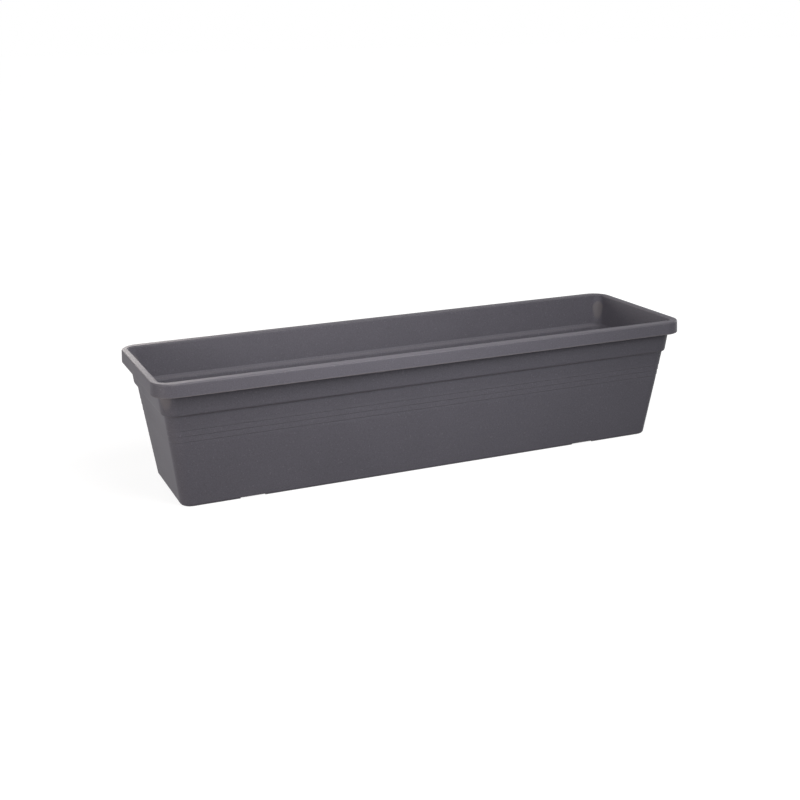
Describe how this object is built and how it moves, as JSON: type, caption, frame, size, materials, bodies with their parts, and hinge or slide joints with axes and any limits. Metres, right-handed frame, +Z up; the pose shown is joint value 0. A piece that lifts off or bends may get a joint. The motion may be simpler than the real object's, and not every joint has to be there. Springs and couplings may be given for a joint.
{
  "type": "trough planter",
  "caption": "Long rectangular floor planter with drafted walls, a down-turned rim, a stepped band, a slotted foot ring, a lift-out reservoir grid and push-in drain plugs.",
  "frame": {"origin": "middle of the footprint, on the ground under the foot ring", "axes": "+X along the trough, -Y towards the front that the picture shows, +Z up"},
  "size_m": [0.8, 0.238, 0.1835],
  "materials": {
    "shell": "anthracite moulded polypropylene with a fine eroded grain",
    "grid": "black moulded polypropylene, satin",
    "plug": "black soft rubber, dull"
  },
  "bodies": {
    "trough": {"trough_shell": "shell"},
    "grid_left": {"reservoir_grid_left": "grid"},
    "grid_right": {"reservoir_grid_right": "grid"},
    "plug_1": {"drain_plug_1": "plug"},
    "plug_2": {"drain_plug_2": "plug"},
    "plug_3": {"drain_plug_3": "plug"},
    "plug_4": {"drain_plug_4": "plug"}
  },
  "joints": [
    {"name": "grid_left_lift", "type": "slide", "parent": "trough", "child": "grid_left", "axis": [0, 0, 1], "range_m": [0, 0.2]},
    {"name": "grid_right_lift", "type": "slide", "parent": "trough", "child": "grid_right", "axis": [0, 0, 1], "range_m": [0, 0.2]},
    {"name": "plug_1_pull", "type": "slide", "parent": "trough", "child": "plug_1", "axis": [0, 0, -1], "range_m": [0, 0.02]},
    {"name": "plug_2_pull", "type": "slide", "parent": "trough", "child": "plug_2", "axis": [0, 0, -1], "range_m": [0, 0.02]},
    {"name": "plug_3_pull", "type": "slide", "parent": "trough", "child": "plug_3", "axis": [0, 0, -1], "range_m": [0, 0.02]},
    {"name": "plug_4_pull", "type": "slide", "parent": "trough", "child": "plug_4", "axis": [0, 0, -1], "range_m": [0, 0.02]}
  ]
}
